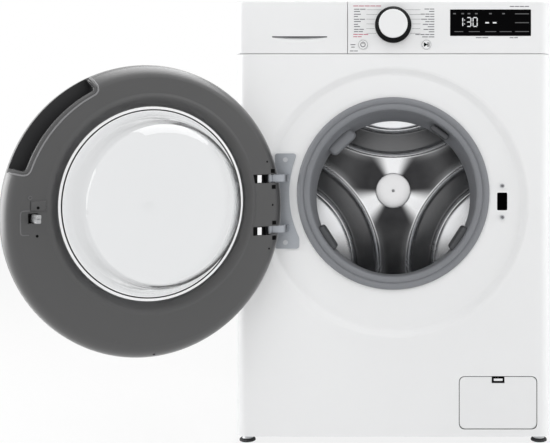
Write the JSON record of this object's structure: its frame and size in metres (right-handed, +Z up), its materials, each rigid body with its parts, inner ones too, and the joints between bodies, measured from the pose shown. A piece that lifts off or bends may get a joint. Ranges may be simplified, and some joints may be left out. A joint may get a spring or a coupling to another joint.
{
  "type": "front load washing machine",
  "caption": "White front load washing machine with its round glass door open, grey door gasket, steel drum, programme knob, display, detergent drawer and filter flap.",
  "frame": {"origin": "on the floor under the middle of the cabinet", "axes": "+X to the user's right, -Y out of the front, +Z up"},
  "size_m": [0.9211, 0.9183, 0.85],
  "materials": {
    "white_paint": "satin",
    "white_plastic": "satin",
    "dark_grey_plastic": "matt",
    "black_plastic": "matt",
    "black_gloss": "gloss",
    "clear_glass": "gloss",
    "grey_rubber": "matt",
    "black_rubber": "matt",
    "stainless": "bright",
    "zinc_steel": "satin",
    "cast_aluminium": "cast",
    "cast_weight": "cast",
    "tub_plastic": "matt",
    "motor_iron": "wound",
    "board_plastic": "matt"
  },
  "bodies": {
    "cabinet": {"base_pan": "zinc_steel", "foot_nuts": "zinc_steel", "cabinet_shell": "white_paint", "rear_panel": "zinc_steel", "transit_bolt_caps": "dark_grey_plastic", "top_cover": "white_plastic", "front_panel": "white_paint", "control_panel": "white_plastic", "display_window": "black_gloss", "control_boards": "board_plastic", "dispenser_housing": "white_plastic", "inlet_valve": "white_plastic", "mains_gland": "black_plastic", "damper_cylinders": "zinc_steel", "suspension_springs": "zinc_steel", "fill_hose": "black_rubber", "sump_hose": "black_rubber", "drain_pump": "black_plastic", "drain_pipe": "tub_plastic", "gasket": "grey_rubber", "spray_nozzles": "grey_rubber", "door_lock": "black_plastic", "hinge_bracket": "zinc_steel", "cabinet_screws": "zinc_steel"},
    "foot_front_left": {"foot_front_left": "black_rubber"},
    "foot_front_right": {"foot_front_right": "black_rubber"},
    "foot_rear_left": {"foot_rear_left": "black_rubber"},
    "foot_rear_right": {"foot_rear_right": "black_rubber"},
    "tub": {"tub_front": "tub_plastic", "tub_rear": "tub_plastic", "counterweights": "cast_weight", "heater": "zinc_steel", "drum_bearings": "zinc_steel", "motor_stator": "motor_iron", "gasket_clamp": "zinc_steel", "damper_rods": "zinc_steel"},
    "drum": {"drum_shell": "stainless", "drum_back": "stainless", "hub_cap": "white_plastic", "drum_lifters": "stainless", "drum_spider": "cast_aluminium", "drum_shaft": "zinc_steel", "motor_rotor": "motor_iron"},
    "door": {"door_inner_frame": "dark_grey_plastic", "handle_cup": "black_plastic", "door_glass": "clear_glass", "glass_ring": "white_plastic", "door_outer_frame": "dark_grey_plastic", "door_window": "clear_glass", "door_screws": "zinc_steel", "hinge_pins": "zinc_steel"},
    "latch": {"latch_hook": "zinc_steel"},
    "drawer": {"drawer_front": "white_plastic", "drawer_tray": "white_plastic"},
    "knob": {"knob_ring": "dark_grey_plastic", "knob_cap": "white_plastic"},
    "power_button": {"power_button": "white_plastic"},
    "start_button": {"start_button": "white_plastic"},
    "flap": {"filter_flap": "white_plastic"},
    "filter": {"drain_filter": "black_plastic"}
  },
  "joints": [
    {"name": "foot_front_left_turn", "type": "hinge", "parent": "cabinet", "child": "foot_front_left", "pos_m": [-0.283, -0.2465, 0], "axis": [0, 0, 1], "range_deg": [-720, 1440]},
    {"name": "foot_front_right_turn", "type": "hinge", "parent": "cabinet", "child": "foot_front_right", "pos_m": [0.283, -0.2465, 0], "axis": [0, 0, 1], "range_deg": [-720, 1440]},
    {"name": "foot_rear_left_turn", "type": "hinge", "parent": "cabinet", "child": "foot_rear_left", "pos_m": [-0.283, 0.2465, 0], "axis": [0, 0, 1], "range_deg": [-720, 1440]},
    {"name": "foot_rear_right_turn", "type": "hinge", "parent": "cabinet", "child": "foot_rear_right", "pos_m": [0.283, 0.2465, 0], "axis": [0, 0, 1], "range_deg": [-720, 1440]},
    {"name": "tub_bounce", "type": "slide", "parent": "cabinet", "child": "tub", "axis": [0, 0, 1], "range_m": [-0.006, 0.006], "stiffness_N_per_m": 20000, "springref_m": 0.01986, "deforming": ["suspension_springs", "fill_hose", "sump_hose", "gasket"]},
    {"name": "drum_spin", "type": "hinge", "parent": "tub", "child": "drum", "pos_m": [0, 0, 0.469], "axis": [0, 1, 0], "continuous": true},
    {"name": "door_hinge", "type": "hinge", "parent": "cabinet", "child": "door", "pos_m": [-0.2313, -0.3225, 0.46], "axis": [0, 0, -1], "range_deg": [-143.3, 4.7]},
    {"name": "latch_pivot", "type": "hinge", "parent": "door", "child": "latch", "pos_m": [-0.57355, -0.59507, 0.457], "axis": [0, 0, 1], "range_deg": [0, 5], "stiffness_Nm_per_rad": 0.8},
    {"name": "drawer_slide", "type": "slide", "parent": "cabinet", "child": "drawer", "axis": [0, -1, 0], "range_m": [0, 0.19]},
    {"name": "knob_turn", "type": "hinge", "parent": "cabinet", "child": "knob", "pos_m": [0, -0.2825, 0.8035], "axis": [0, 1, 0], "continuous": true},
    {"name": "power_press", "type": "slide", "parent": "cabinet", "child": "power_button", "axis": [0, 1, 0], "range_m": [0, 0.0015], "stiffness_N_per_m": 600},
    {"name": "start_press", "type": "slide", "parent": "cabinet", "child": "start_button", "axis": [0, 1, 0], "range_m": [0, 0.0015], "stiffness_N_per_m": 600},
    {"name": "flap_hinge", "type": "hinge", "parent": "cabinet", "child": "flap", "pos_m": [0.2, -0.2775, 0.046], "axis": [1, 0, 0], "range_deg": [0, 80]},
    {"name": "filter_turn", "type": "hinge", "parent": "cabinet", "child": "filter", "pos_m": [0.2, -0.2565, 0.0825], "axis": [0, 1, 0], "range_deg": [0, 540]}
  ]
}
